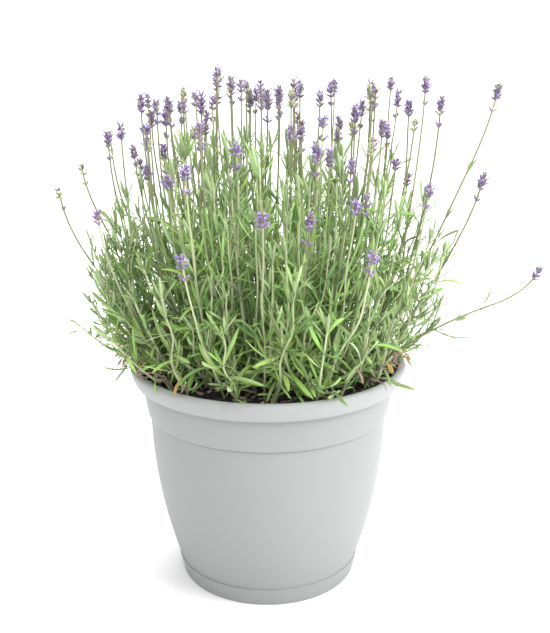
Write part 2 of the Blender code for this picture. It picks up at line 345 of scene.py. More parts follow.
# %% Plant finish
MIDRIB_AT, UNDERSIDE_FROM, TILE_NUMBERING = 0.30, 0.60, 17
FADED_TIP = (0.33, 0.29, 0.11, 1)
# One colour for each tissue, in the order above. The first, the dark leaf green, is also painted shade among
# the leaves.
MAIN = (
    (0.089, 0.190, 0.036), (0.214, 0.336, 0.100), (0.235, 0.401, 0.077), (0.381, 0.429, 0.235),
    (0.166, 0.117, 0.223), (0.279, 0.190, 0.474), (0.502, 0.365, 0.097), (0.324, 0.211, 0.174),
    (0.195, 0.215, 0.100),
)
SECOND = (
    (0.235, 0.348, 0.126), (0.389, 0.486, 0.267), (0.365, 0.510, 0.194), (0.502, 0.535, 0.356),
    (0.300, 0.251, 0.332), (0.405, 0.332, 0.583), (0.308, 0.146, 0.049), (0.437, 0.332, 0.283),
    (0.285, 0.300, 0.165),
)


def row_ramp(finish, rows, colours):
    """The colour of each row of tiles, held constant across the row."""
    stops = [(row / TISSUES, colour) for row, colour in enumerate(colours)]
    made = finish.node("ValToRGB", {"stops": stops}, {0: rows})
    made.socket.node.color_ramp.interpolation = "CONSTANT"
    return made


def on_the_sheet(finish):
    """The height on the sheet, the place counted in tiles, the tile's number, and a chance per tile."""
    place = finish.node("UVMap", {"uv_map": "OFBake"})
    rows = finish.node("SeparateXYZ", {}, {0: place}, 1)
    u, v = finish.node("SeparateXYZ", {}, {0: place}, 0) * COLUMNS, rows * TISSUES
    tile = u.math("FLOOR", u) + TILE_NUMBERING * v.math("FLOOR", v)
    chance = finish.node("TexWhiteNoise", {"noise_dimensions": "1D"}, {"W": tile})
    return rows, u, v, tile, chance


def plant_finish(name, roughness):
    finish = Finish(name, Sheen_Weight=0.22, Sheen_Roughness=0.45, Specular_IOR_Level=0.3)
    rows, u, v, tile, chance = on_the_sheet(finish)
    across, along = u.math("FRACT", u), v.math("FRACT", v)
    rib = 1 - finish.between(across.math("ABSOLUTE", across - MIDRIB_AT), 0.015, 0.06)
    under = finish.between(across, UNDERSIDE_FROM, UNDERSIDE_FROM + 0.06)
    streak_place = finish.node("CombineXYZ", {}, {0: across * 9, 1: along * 2.5, 2: tile})
    streaks = finish.noise(streak_place, 2.2)
    second = rib.math("MAXIMUM", rib * 0.75, under * 0.7) + (streaks - 0.5) * 0.9
    colour = finish.mix(second, row_ramp(finish, rows, MAIN), row_ramp(finish, rows, SECOND))
    shade = 0.66 + 0.60 * chance + 0.14 * along
    tint = finish.node("HueSaturation", {}, {"Hue": 0.485 + 0.03 * chance, "Value": shade, "Color": colour})
    tip = finish.between(along, 0.90, 1.0) * 0.35
    tint = finish.mix(tip, tint, FADED_TIP)
    height = streaks + rib * -0.8
    return finish.finish(tint, roughness - 0.1 * streaks, height, 0.0004, 0.5)


leaf_finish = plant_finish("leaf_down", 0.66)
stalk_finish = plant_finish("stalk_down", 0.74)
twig_finish = plant_finish("dry_bark", 0.9)


# %% [markdown]
# ## The pot
# The pot is a turned form, so its outline alone describes it: a foot band, a bell wall that follows a
# parabola, a collar that bulges a little, and a flared lip with a rounded top. The lip's radius and
# height are read from the frame's solid, and the other measures are named here. The outline is walked
# with arcs and curves, and spun. Fine steps keep the lip and the two shadow lines crisp.

# %% Pot outline
_, pot_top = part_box("pot")
BASE_EDGE = 0.0015
LIP_RADIUS, LIP_TOP = pot_top.x, pot_top.z
LIP_HEIGHT, LIP_WIDTH, LIP_FLARE, LIP_ROUND = 0.0195, 0.009, 0.0053, 0.004
LIP_LOW = LIP_TOP - LIP_HEIGHT
COLLAR_LOW, COLLAR_RADIUS, COLLAR_CURVE = 0.1912, 0.1370, 0.0045
BODY_TOP = 0.1298
FOOT_HEIGHT, FOOT_RADIUS, BASE_RADIUS = 0.0205, 0.1026, 0.0985
STEP, WALL, FLOOR_THICK, EDGE = 0.0012, 0.003, 0.0045, 0.0006


def body_radius(z):
    """The wall's radius: a parabola from the foot band out to the collar."""
    up = (z - FOOT_HEIGHT) / (COLLAR_LOW - FOOT_HEIGHT)
    return BODY_TOP - (BODY_TOP - FOOT_RADIUS + STEP) * (1 - up) ** 2


def collar_radius(z):
    up = (z - COLLAR_LOW) / (LIP_LOW - COLLAR_LOW)
    return COLLAR_RADIUS - COLLAR_CURVE * (1 - np.sin(up * np.pi / 2))


def arc(middle, radius, first, last, count):
    turns = np.radians(np.linspace(first, last, count))
    return [(middle[0] + radius * math.cos(a), middle[1] + radius * math.sin(a)) for a in turns]


def outer_line():
    line = [(r, 0.0) for r in np.linspace(0.002, BASE_RADIUS - 0.002, 14)]
    line += arc((BASE_RADIUS - BASE_EDGE, BASE_EDGE), BASE_EDGE, -80, 0, 5)
    line += [(BASE_RADIUS + (FOOT_RADIUS - BASE_RADIUS) * t, BASE_EDGE + (FOOT_HEIGHT - 0.0021) * t)
             for t in np.linspace(0.08, 0.96, 8)]
    line += arc((FOOT_RADIUS - EDGE, FOOT_HEIGHT - EDGE), EDGE, 0, 80, 4)
    line += [(body_radius(z), z) for z in np.linspace(FOOT_HEIGHT + 0.0003, COLLAR_LOW - 0.0006, 44)]
    line += arc((float(collar_radius(COLLAR_LOW)) - EDGE, COLLAR_LOW + EDGE), EDGE, -80, 0, 4)
    line += [(float(collar_radius(z)), z) for z in np.linspace(COLLAR_LOW + 0.0012, LIP_LOW - 0.0004, 16)]
    return line


def lip_line():
    line = arc((LIP_RADIUS - LIP_FLARE - EDGE, LIP_LOW + EDGE), EDGE, -90, 0, 5)
    line += [(LIP_RADIUS - LIP_FLARE * (1 - t) ** 1.6, LIP_LOW + (LIP_HEIGHT - LIP_ROUND) * t)
             for t in np.linspace(0.09, 1.0, 12)]
    middle = LIP_RADIUS - LIP_WIDTH / 2
    line += [(middle + LIP_WIDTH / 2 * math.cos(a), LIP_TOP - LIP_ROUND + LIP_ROUND * math.sin(a))
             for a in np.linspace(0.15, math.pi, 16)]
    return line


def inner_line():
    line = [(LIP_RADIUS - LIP_WIDTH, LIP_TOP - 0.006)]
    start = (float(collar_radius(LIP_LOW - LIP_ROUND)) - WALL, LIP_LOW - LIP_ROUND)
    line += [(line[0][0] + (start[0] - line[0][0]) * t, line[0][1] + (start[1] - line[0][1]) * t)
             for t in (0.3, 0.6, 1.0)]
    line += [(body_radius(z) - WALL, z) for z in np.linspace(COLLAR_LOW - LIP_ROUND, FOOT_HEIGHT, 24)]
    line += [(BASE_RADIUS - WALL, FLOOR_THICK + 0.002), (BASE_RADIUS - WALL - 0.002, FLOOR_THICK)]
    return line + [(r, FLOOR_THICK) for r in np.linspace(BASE_RADIUS - WALL - 0.01, 0.002, 10)]


pot_line = np.array(outer_line() + lip_line() + inner_line())
print("points in the pot's outline:", len(pot_line))


# %% [markdown]
# ## Spinning the pot and drilling its floor
# The outline is turned into one closed skin with a small pip of plastic left on its collar line, as
# moulded pots have. Round drain holes are cut through the floor with one Boolean, off the centre, so
# that the middle of the base stays whole.

# %% Pot mesh
POT_TURNS = 192
DRAIN_HOLES, DRAIN_RADIUS, DRAIN_CIRCLE = 6, 0.005, 0.062


def spun(line, turns):
    """The closed skin of a turned outline whose two ends lie on the axis side."""
    angles = 2 * np.pi * np.arange(turns) / turns
    rings = np.stack([line[:, :1] * np.cos(angles), line[:, :1] * np.sin(angles),
                      np.broadcast_to(line[:, 1:], (len(line), turns))], -1)
    faces = []
    for k in range(len(line) - 1):
        for j in range(turns):
            n = (j + 1) % turns
            faces.append((k * turns + j, k * turns + n, (k + 1) * turns + n, (k + 1) * turns + j))
    faces.append(tuple(range(turns))[::-1])
    faces.append(tuple((len(line) - 1) * turns + j for j in range(turns)))
    return rings.reshape(-1, 3), faces


def drill(piece):
    """Cuts the drain holes through the floor with one ring of rods."""
    points, faces = [], []
    for hole in range(DRAIN_HOLES):
        turn = 2 * math.pi * (hole + 1 / 3) / DRAIN_HOLES
        x, y = DRAIN_CIRCLE * math.cos(turn), DRAIN_CIRCLE * math.sin(turn)
        rod = np.array([(0.0001, -0.01), (DRAIN_RADIUS, -0.01), (DRAIN_RADIUS, 0.02), (0.0001, 0.02)])
        skin, skin_faces = spun(rod, 32)
        faces += [tuple(corner + len(points) for corner in face) for face in skin_faces]
        points += [(px + x, py + y, pz) for px, py, pz in skin]
    rods = object_of("drain_rods", points, faces)
    cut = piece.modifiers.new("drain", "BOOLEAN")
    cut.operation = "DIFFERENCE"
    cut.object = rods
    bpy.context.view_layer.update()
    whole = bpy.data.meshes.new_from_object(piece.evaluated_get(bpy.context.evaluated_depsgraph_get()))
    piece.modifiers.clear()
    piece.data = whole
    bpy.data.objects.remove(rods)


PIP_TURN, PIP_HEIGHT, PIP_RADIUS = math.radians(227), 0.0035, 0.0009


def add_pip(mesh):
    """A half-sunk bead just over the collar's lower edge."""
    far = float(collar_radius(COLLAR_LOW + PIP_HEIGHT))
    place = Matrix.Translation((far * math.cos(PIP_TURN), far * math.sin(PIP_TURN), COLLAR_LOW + PIP_HEIGHT))
    skin = bmesh.new()
    skin.from_mesh(mesh)
    bmesh.ops.create_uvsphere(skin, u_segments=16, v_segments=10, radius=PIP_RADIUS, matrix=place)
    skin.to_mesh(mesh)
    skin.free()


pot_points, pot_faces = spun(pot_line, POT_TURNS)
draft = object_of("pot_draft", pot_points, pot_faces)
drill(draft)
pot_mesh = draft.data
add_pip(pot_mesh)
bpy.data.objects.remove(draft)
pot_mesh.name = "bell_pot"
pot_mesh.shade_smooth()
pot_mesh.set_sharp_from_angle(angle=math.radians(50))
print("faces on the pot:", len(pot_mesh.polygons))


# %% [markdown]
# ## The pot's finish
# Moulded polypropylene is almost even in colour. What makes it real is faint: a fine satin grain, soft
# blotches where the plastic flowed, short scuffs and smudges of soil round the lip. Two marks are painted
# light and shade: the lip is painted a little lighter, as if it caught more light, and painted shade
# darkens a narrow band in the corner under each step. All come from noises and from the height.

# %% Pot finish
PLASTIC, PLASTIC_FLOWN = (0.250, 0.262, 0.257, 1), (0.272, 0.283, 0.278, 1)
# SCUFFED is worn plastic. The second colour is painted light, which makes the lip look brighter than the rest
# of the pot.
SCUFFED, PAINTED_LIP_LIGHT = (0.36, 0.38, 0.37, 1), (0.323, 0.335, 0.331, 1)
# SOILED and DUST are dirt. The middle colour is painted shade for the corners under the steps.
SOILED, PAINTED_STEP_SHADE, DUST = (0.17, 0.16, 0.14, 1), (0.15, 0.155, 0.15, 1), (0.25, 0.245, 0.225, 1)
# Painted shade: at each of these step heights a narrow band is darkened by the given amount, standing in for
# the shadow in the corner under the step.
CREASES = ((LIP_LOW, 0.55), (COLLAR_LOW, 0.45), (FOOT_HEIGHT, 0.15))


def pot_finish():
    finish = Finish("pot_plastic", Specular_IOR_Level=0.42)
    where = finish.node("TexCoord", output=3)
    height = finish.node("SeparateXYZ", {}, {0: where}, 2)
    flow = finish.noise(where, 9.0, 2.0)
    grain = finish.noise(where, 1400.0, 2.0)
    scuff_place = finish.node("Mapping", {}, {"Vector": where, "Scale": (30.0, 30.0, 160.0)})
    scuffs = finish.between(finish.noise(scuff_place, 3.0, 5.0, 0.7), 0.66, 0.74)
    colour = finish.mix(flow, PLASTIC, PLASTIC_FLOWN)
    colour = finish.mix(scuffs * 0.2, colour, SCUFFED)
    # Painted light: the lip, from just under its lower edge upward, is mixed towards the lighter colour.
    on_lip = finish.between(height, LIP_LOW - 0.001, LIP_LOW + 0.004)
    colour = finish.mix(on_lip * 0.6, colour, PAINTED_LIP_LIGHT)
    near_lip = finish.between(height, LIP_TOP - 0.012, LIP_TOP)
    smudge = finish.between(finish.noise(where, 26.0, 4.0), 0.58, 0.72) * near_lip
    colour = finish.mix(smudge * 0.45, colour, SOILED)
    # Painted shade: the band just below each step's edge is mixed towards a darker colour.
    for crease, depth in CREASES:
        below = finish.between(height, crease - 0.0035, crease - 0.0005)
        painted_step_shade_band = below * (1 - finish.between(height, crease + 0.0002, crease + 0.0006))
        colour = finish.mix(painted_step_shade_band * depth, colour, PAINTED_STEP_SHADE)
    foot_dust = (1 - finish.between(height, 0.0, 0.012)) * 0.2
    colour = finish.mix(foot_dust, colour, DUST)
    rough = 0.46 + 0.10 * flow + 0.12 * scuffs + 0.2 * smudge
    return finish.finish(colour, rough, grain * 0.3 + flow, 0.0006, 0.35)


add_piece("bell_pot", pot_mesh, pot_finish(), "pot_plastic", "pot")


# %% [markdown]
# ## The soil
# Potting compost is dark, moist and rough, with chips of bark and pale fibres. A smooth disc would
# look like paint, so the surface is a fine grid whose heights come from a sum of waves and a random
# grain, and small chips lie on it in the next step. Below, the soil fills the pot as a plain block.

# %% Soil
_, soil_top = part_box("soil")
SOIL_RADIUS = soil_top.x
SOIL_EDGE, SOIL_FALL = 0.229, 0.007
SOIL_RINGS, SOIL_TURNS = 70, 240
SOIL_WAVES, WAVE_DEPTH, SOIL_GRAIN = (60.0, 130.0, 270.0, 520.0), 0.045, 0.0006
SIDE_GAP, BED_GAP = 0.0006, 0.0004


def soil_height(x, y):
    """The soil heaps up a little towards the middle of the pot."""
    return SOIL_EDGE + SOIL_FALL * (1 - (np.hypot(x, y) / SOIL_RADIUS) ** 2)


def make_soil():
    rng = np.random.default_rng(11)
    angles = 2 * np.pi * np.arange(SOIL_TURNS) / SOIL_TURNS
    radii = np.linspace(SOIL_RADIUS - BED_GAP, 0.0015, SOIL_RINGS)
    x, y = radii[:, None] * np.cos(angles), radii[:, None] * np.sin(angles)
    z = soil_height(x, y)
    for scale in SOIL_WAVES:
        turn, shift = rng.uniform(0, np.pi, 3), rng.uniform(0, 7, 3)
        waves = sum(np.sin(scale * (x * np.cos(t) + y * np.sin(t)) + s) for t, s in zip(turn, shift))
        z = z + waves * WAVE_DEPTH / scale
    z += rng.normal(0, SOIL_GRAIN, z.shape)
    z[0] = SOIL_EDGE
    wall = np.array([(r - SIDE_GAP, h) for r, h in inner_line()[3:] if h < SOIL_EDGE][::-1])
    sides = np.stack([wall[:, :1] * np.cos(angles), wall[:, :1] * np.sin(angles),
                      np.broadcast_to(wall[:, 1:] + BED_GAP, (len(wall), SOIL_TURNS))], -1)
    rings = np.concatenate([sides, np.stack([x, y, z], -1)])
    growth = Growth()
    growth.loft(rings[None], BARK, rng)
    return growth.mesh("compost")


def soil_finish():
    finish = Finish("compost", Specular_IOR_Level=0.25)
    where = finish.node("TexCoord", output=3)
    clods = finish.noise(where, 170.0, 6.0, 0.65)
    stops = [(0.30, (0.007, 0.005, 0.005)), (0.52, (0.036, 0.026, 0.024)), (0.72, (0.110, 0.080, 0.070))]
    colour = finish.node("ValToRGB", {"stops": stops}, {0: clods})
    fine = finish.noise(where, 900.0, 3.0)
    return finish.finish(colour, 0.75 + 0.2 * fine, clods + 0.3 * fine, 0.003, 0.9)


add_piece("compost", make_soil(), soil_finish(), "potting_soil", "soil")


# %% [markdown]
# ## Bark chips
# Each chip is a short six-sided loft with uneven rings, turned at random and sunk a little into the
# soil. Their colours run from nearly black through reddish brown to pale, and the thin ones are fibres.

# %% Bark chips
CHIPS, CHIP_ROWS = 2600, 8
FIBRE_SHARE, FIBRE_WIDTH = 0.22, 0.0006
CHIP_SWELL = np.array([0.45, 0.95, 1.0, 0.85, 0.4])


def random_frames(rng, count, tilt):
    """Random right-handed axes: a heading on the soil, tipped by up to tilt."""
    heading = rng.uniform(0, 2 * np.pi, count)
    lift = rng.uniform(-tilt, tilt, count)
    forward = np.stack([np.cos(heading) * np.cos(lift), np.sin(heading) * np.cos(lift), np.sin(lift)], -1)
    side = unit(np.cross(forward, np.broadcast_to([0.0, 0.0, 1.0], forward.shape)))
    return forward, side, np.cross(side, forward)


def make_chips():
    rng = np.random.default_rng(12)
    out = SOIL_RADIUS * 0.975 * np.sqrt(rng.uniform(0.0, 1.0, CHIPS))
    turn = rng.uniform(0, 2 * np.pi, CHIPS)
    x, y = out * np.cos(turn), out * np.sin(turn)
    length = rng.gamma(3.0, 0.0016, CHIPS) + 0.002
    thin = rng.uniform(0, 1, CHIPS) < FIBRE_SHARE
    width = np.where(thin, FIBRE_WIDTH, length * rng.uniform(0.3, 0.6, CHIPS))
    forward, side, top = random_frames(rng, CHIPS, 0.6)
    stations = np.linspace(-0.5, 0.5, 5)
    swell = CHIP_SWELL * rng.uniform(0.75, 1.25, (CHIPS, 5))
    turns = 2 * np.pi * (np.arange(6) + 0.5) / 6
    uneven = rng.uniform(0.7, 1.3, (CHIPS, 5, 6)) * swell[..., None] * width[:, None, None] / 2
    centre = np.stack([x, y, soil_height(x, y) + 0.0006], -1)
    curl = np.where(thin, rng.uniform(-0.5, 0.5, CHIPS), 0.0)
    line = centre[:, None] + forward[:, None] * (stations[:, None] * length[:, None, None])
    line = line + side[:, None] * (stations ** 2)[:, None] * (length * curl)[:, None, None]
    across = (uneven * np.cos(turns))[..., None] * side[:, None, None]
    rise = (uneven * np.sin(turns) * 0.55)[..., None] * top[:, None, None]
    growth = Growth()
    growth.loft(line[:, :, None] + across + rise, rng.integers(0, CHIP_ROWS, CHIPS), rng)
    return growth.mesh("bark_chips")


def chip_finish():
    finish = Finish("bark_chip", Specular_IOR_Level=0.3)
    _, u, v, tile, chance = on_the_sheet(finish)
    stops = [(0.0, (0.015, 0.012, 0.012)), (0.35, (0.070, 0.050, 0.050)), (0.65, (0.210, 0.155, 0.150)),
             (0.95, (0.440, 0.360, 0.330))]
    grain_place = finish.node("CombineXYZ", {}, {0: u * 6, 1: v * 1.5, 2: tile})
    grain = finish.noise(grain_place, 3.0, 4.0)
    colour = finish.node("ValToRGB", {"stops": stops}, {0: chance + (grain - 0.5) * 0.3})
    return finish.finish(colour, 0.65 + 0.3 * grain, grain, 0.0006, 0.7)


add_piece("bark_chips", make_chips(), chip_finish(), "potting_soil")
print("bark chips:", CHIPS)


# %% [markdown]
# ## The lines of the stems
# The frame's solids hold the path of each main stem. A flower stalk's solid is a thin tube, so its
# corners, sorted by distance from the root, fall into rings, and the middle of each ring is a point of
# the stem. Those points are few and uneven, so a cubic curve is fitted to them. A leafy shoot has blades
# on it, so only its root and its tip are read, and the curve between them is bowed as in the solid.

# %% Stem lines
STALKS = sorted(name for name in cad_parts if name.startswith("flower_stalk"))
SHOOTS = sorted(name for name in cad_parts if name.startswith("leafy_shoot"))
TWIGS = sorted(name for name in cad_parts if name.startswith("dry_twig"))
RING_GAP = 0.0035


def corners_of(node):
    points = np.array([v.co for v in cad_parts[node].data.vertices])
    return np.unique(np.round(points, 6), axis=0)


def root_of(points):
    return points[points[:, 2] < points[:, 2].min() + 0.0015].mean(axis=0)


def tube_line(node):
    """The middle line of a thin tube, from its root to its tip."""
    points = corners_of(node)
    far = np.linalg.norm(points - root_of(points), axis=1)
    order = np.argsort(far)
    cuts = np.flatnonzero(np.diff(far[order]) > RING_GAP) + 1
    return np.array([points[group].mean(axis=0) for group in np.split(order, cuts)])


def cubic_line(line, count):
    """The cubic curve that runs closest to the points, read at even steps from the root."""
    t = np.linalg.norm(line - line[0], axis=1) / np.linalg.norm(line[-1] - line[0])
    weights = np.ones(len(line))
    weights[[0, -1]] = 20.0
    cubic = np.polyfit(t, line, 3, w=weights)
    even = np.linspace(0, 1, count)
    return np.stack([np.polyval(cubic[:, i], even) for i in range(3)], -1)


def walk(line):
    """The length walked at each point of a line."""
    return np.concatenate([[0.0], np.cumsum(np.linalg.norm(np.diff(line, axis=0), axis=1))])


def points_along(line, at):
    """The points of a line at the given distances from its start."""
    walked = walk(line)
    return np.stack([np.interp(at, walked, line[:, i]) for i in range(3)], -1)


def smooth_line(line, count):
    """A Catmull-Rom curve through the points, read at even steps of its length."""
    ends = np.concatenate([[2 * line[0] - line[1]], line, [2 * line[-1] - line[-2]]])
    t = np.linspace(0, 1, 12, endpoint=False)[:, None]
    parts = []
    for a, b, c, d in zip(ends, ends[1:], ends[2:], ends[3:]):
        parts.append(0.5 * (2 * b + (c - a) * t + (2 * a - 5 * b + 4 * c - d) * t ** 2
                            + (3 * b - a - 3 * c + d) * t ** 3))
    fine = np.concatenate(parts + [line[-1:]])
    return points_along(fine, np.linspace(0, walk(fine)[-1], count))


def bowed_line(root, tip, bow, count=24):
    """The curve from root to tip that leans out over its neighbours by the bow and then grows up."""
    outward = unit(np.array([tip[0] - root[0], tip[1] - root[1], 0.0]))
    bend = (root + tip) / 2 + outward * (np.linalg.norm(tip - root) * bow)
    t = np.linspace(0, 1, count)[:, None]
    return root * (1 - t) ** 2 + bend * (2 * t * (1 - t)) + tip * t ** 2


def shoot_ends(node):
    points = corners_of(node)
    root = root_of(points)
    return root, points[np.argmax(np.linalg.norm(points - root, axis=1))]


stalk_lines = {name: cubic_line(tube_line(name), 40) for name in STALKS}
shoot_lines = {name: bowed_line(*shoot_ends(name), 0.07) for name in SHOOTS}
print("flower stalks:", len(stalk_lines), " leafy shoots:", len(shoot_lines))


# %% [markdown]
# ## Leaves
# A lavender leaf is long and narrow, with its edges rolled under and a groove along the middle. Each
# leaf here is a closed loft of six-point rings: two edges, two shoulders, the groove, and the keel
# below. The leaf leaves the stem at an angle and bends as it goes, so its direction is worked out
# station by station for all the leaves of a shoot at once. Leaves that the lip would stretch too far
# are left out.

# %% Keep clear of the lip
LIP_INNER = LIP_RADIUS - LIP_WIDTH
CLEARANCE = 0.003
RISE_FROM = 0.118


def over_lip(line):
    """Lifts points so that nothing passes through the lip: the lowest height allowed rises from the
    soil up to the lip, stays level over it, and falls away outside."""
    far = np.hypot(line[..., 0], line[..., 1])
    climb = np.clip((far - RISE_FROM) / (LIP_INNER - 0.004 - RISE_FROM), 0, 1)
    climb = climb * climb * (3 - 2 * climb)
    lowest = SOIL_EDGE + (LIP_TOP + CLEARANCE - SOIL_EDGE) * climb
    lowest = lowest - np.maximum(far - LIP_RADIUS - CLEARANCE, 0) * 4
    raised = line.copy()
    raised[..., 2] = np.maximum(line[..., 2], lowest)
    return raised


# %% Leaf loft
LEAF_STATIONS = 7
SECTION = np.array([(0.50, -0.10), (0.27, 0.035), (0.0, -0.035),
                    (-0.27, 0.035), (-0.50, -0.10), (0.0, -0.15)])
ACROSS = (0.0, 0.15, 0.30, 0.45, 0.60, 0.80, 1.0)
MOST_RAISED = 0.007


class Leaves:
    """A list of leaves to be lofted together."""

    def __init__(self):
        self.rows = []

    def add(self, origin, up, out, length, width, angle, bend, tissue, fold=0.0, twist=0.0, lift=0.0):
        """A leaf that starts at the origin, tipped by the angle from up towards out, and bent further."""
        numbers = (length, width, angle, bend, tissue, fold, twist, lift)
        self.rows.append(np.concatenate([origin, up, out, numbers]))

    def into(self, growth, rng):
        """Lofts all the leaves together, each kept clear of the lip."""
        if not self.rows:
            return
        table = np.array(self.rows)
        origin, up, out = table[:, None, 0:3], table[:, None, 3:6], table[:, None, 6:9]
        length, width, angle, bend, tissue, fold, twist, lift = table[:, 9:].T[:, :, None]
        s = np.linspace(0, 1, LEAF_STATIONS)[None]
        turn = (angle + bend * s ** 1.3)[..., None]
        forward = np.cos(turn) * up + np.sin(turn) * out
        upper = np.sin(turn) * up - np.cos(turn) * out
        lateral = unit(np.cross(upper, forward))
        forward = unit(forward + (lift * s ** 0.7)[..., None] * np.array([0.0, 0.0, 1.0]))
        upper = np.cross(forward, lateral)
        spin = (twist * s)[..., None]
        turned = np.cos(spin) * lateral - np.sin(spin) * upper
        upper, lateral = np.cos(spin) * upper + np.sin(spin) * lateral, turned
        steps = np.concatenate([np.zeros_like(forward[:, :1]), (forward[:, 1:] + forward[:, :-1]) / 2], 1)
        line = origin + np.cumsum(steps, axis=1) * (length / (LEAF_STATIONS - 1))[..., None]
        free = line
        line = over_lip(line)
        body = 0.38 + 0.62 * np.sin(np.clip(s / 0.65, 0, 1) * np.pi / 2)
        body = body * np.clip(1 - s ** 5.5, 0, 1) ** 0.6
        wide = (width * np.maximum(body, 0.10))[..., None, None]
        across = SECTION[:, 0][:, None] * lateral[:, :, None]
        height = SECTION[:, 1][:, None] + np.abs(SECTION[:, 0])[:, None] * fold[:, :, None, None]
        rings = line[:, :, None] + wide * (across + height * upper[:, :, None])
        kept = (line - free)[..., 2].max(axis=1) < MOST_RAISED
        growth.loft(rings[kept], tissue[kept, 0].astype(int), rng, ACROSS)


# %% [markdown]
# ## A stem with its pairs of leaves
# Leaves sit in opposite pairs, and each pair is turned a quarter from the one below. Low pairs spread
# wide and the youngest, near the tip, stand almost upright in a tuft. From the angle between leaf and
# stem grow up to two small young leaves. Low leaves are broader and mostly a fresher green. On the sunny
# side leaves stay narrower and greyer. The same routine serves a leafy shoot and the lower part of a
# flower stalk.

# %% Stems with leaves
SIDEWAYS = [0.31, 0.95, 0.0]
LOOK_AHEAD = 0.004
SHOOT_STEM = (0.0016, 0.0008)


def stem_frame(line, at):
    """The point, direction and two sideways directions at a distance along a line."""
    point, ahead, back = points_along(line, np.array([at, at + LOOK_AHEAD, at - LOOK_AHEAD]))
    up = unit(ahead - back)
    side = unit(np.cross(up, SIDEWAYS))
    return point, up, side, np.cross(up, side)


def around(side, front, turn):
    """The direction that points away from a stem at a turn round it."""
    return side * np.cos(turn) + front * np.sin(turn)


def add_stem(growth, line, thick, thin, rng, tissue=STEM):
    """A square stem with rounded corners, thinning to its tip."""
    square = np.where(np.arange(8) % 2, 1.06, 0.88)
    radii = np.linspace(thick, thin, len(line))
    radii = radii * (1 + 0.06 * np.sin(walk(line) * 260))
    growth.loft(round_rings(line[None], SIDEWAYS, radii[:, None] * square, 8), tissue, rng)


def sunk(line):
    """The same line, started a little under the soil's surface."""
    return np.concatenate([line[:1] - [0.0, 0.0, 0.003], line])


# Angles are in degrees. Heights on the stem go from 0 at the soil to 1 at the full height of the bush.
BUSH_HEIGHT, LOW_ANGLE, ANGLE_SCATTER = 0.22, 70, 13
FRESH_BELOW, FRESH_SHARE = 0.305, 0.55
SUNNY_SIDE, SUNNY_WIDTH = 0.07, 0.8
YOUNG_BELOW, MOST_YOUNG = 0.65, 2
USUAL_SHARE, TUFT_LEAVES = 0.7, 6


# One of three leaf greens, chosen at random. The dark one also serves as painted shade in the gaps of the
# bush.
def choose_kind(rng):
    return rng.choice([LEAF_DEEP, LEAF_SAGE, LEAF_FRESH], p=[0.33, 0.33, 0.34])


def leaf_pairs(leaves, line, first, last, spacing, size, rng, lean=0.0, tissue=None, lift=0.25):
    """Opposite pairs of leaves from first to last, which are distances along the line."""
    at = first
    turn = rng.uniform(0, np.pi)
    usual = choose_kind(rng) if tissue is None else tissue
    while at < last:
        share = (at - first) / max(last - first, 1e-6)
        point, up, side, front = stem_frame(line, at)
        height = np.clip((point[2] - SOIL_EDGE) / BUSH_HEIGHT, 0, 1)
        angle = np.radians(LOW_ANGLE - 24 * height - 14 * share + rng.normal(0, ANGLE_SCATTER) + lean)
        swell = 0.80 + 0.34 * np.sin(np.pi * min(1.0, share * 1.15)) - 0.20 * share
        length = size * swell * rng.uniform(0.75, 1.2)
        for half in (0.0, np.pi):
            a = turn + half + rng.normal(0, 0.25)
            out = around(side, front, a)
            kind = usual if rng.uniform() < USUAL_SHARE else choose_kind(rng)
            if point[2] < FRESH_BELOW and rng.uniform() < FRESH_SHARE:
                kind = LEAF_FRESH if point[0] < SUNNY_SIDE else LEAF_SAGE
            tall = length * rng.uniform(0.75, 1.1)
            wide = tall * rng.uniform(0.070, 0.112) * (1.04 - 0.14 * height) + 0.0010
            if point[0] > SUNNY_SIDE:
                wide *= SUNNY_WIDTH
            leaves.add(point + out * 0.0008, up, out, tall, wide,
                       angle, rng.normal(0.25, 0.68), kind, rng.uniform(-0.05, 0.4), rng.normal(0, 0.8),
                       rng.normal(lift * (0.3 + 0.5 * height), 0.45))
            for _ in range(rng.integers(0, MOST_YOUNG + 1) if height < YOUNG_BELOW else 0):
                bud = around(side, front, a + rng.normal(0, 0.6))
                small = tall * rng.uniform(0.25, 0.7)
                leaves.add(point + bud * 0.0006, up, bud, small, small * 0.10 + 0.0006,
                           angle * rng.uniform(0.3, 0.9), rng.normal(0.15, 0.3), kind,
                           rng.uniform(0.1, 0.5), rng.normal(0, 0.4), lift)
        turn += np.pi / 2
        at += spacing * rng.uniform(0.75, 1.25) * (1 - 0.25 * share)


def tip_tuft(leaves, line, size, rng):
    """The young leaves that close round the end of a shoot."""
    length = walk(line)[-1]
    for k in range(TUFT_LEAVES):
        point, up, side, front = stem_frame(line, length - 0.0015 * (TUFT_LEAVES - k))
        out = around(side, front, k * 1.9 + rng.uniform(-0.3, 0.3))
        tall = size * rng.uniform(0.35, 0.75)
        leaves.add(point, up, out, tall, tall * 0.11 + 0.0005, np.radians(rng.uniform(10, 40)),
                   rng.normal(0.0, 0.25), LEAF_SAGE, 0.4, rng.normal(0, 0.3))


def leafy_shoot(growth, line, size, rng, spacing=0.023, tissue=None, bare=0.012, lift=0.25):
    """A whole shoot; size is the length of its leaves, and bare is the stem's length without leaves."""
    leaves = Leaves()
    line = over_lip(line)
    length = walk(line)[-1]
    add_stem(growth, sunk(line), *SHOOT_STEM, rng)
    leaf_pairs(leaves, line, bare, length - 0.006, spacing, size, rng, tissue=tissue, lift=lift)
    tip_tuft(leaves, line, size, rng)
    leaves.into(growth, rng)


def wavy(line, rng, depth):
    """The same line with slow sideways waves, which grow from the root and die out at the tip."""
    t = np.linspace(0, 1, len(line))[:, None]
    waves = np.sin(rng.uniform(5, 11) * t + rng.uniform(0, 6)) * np.sin(np.pi * t)
    across = unit(rng.normal(0, 1, 3) * [1, 1, 0.2])
    return line + across * waves * depth


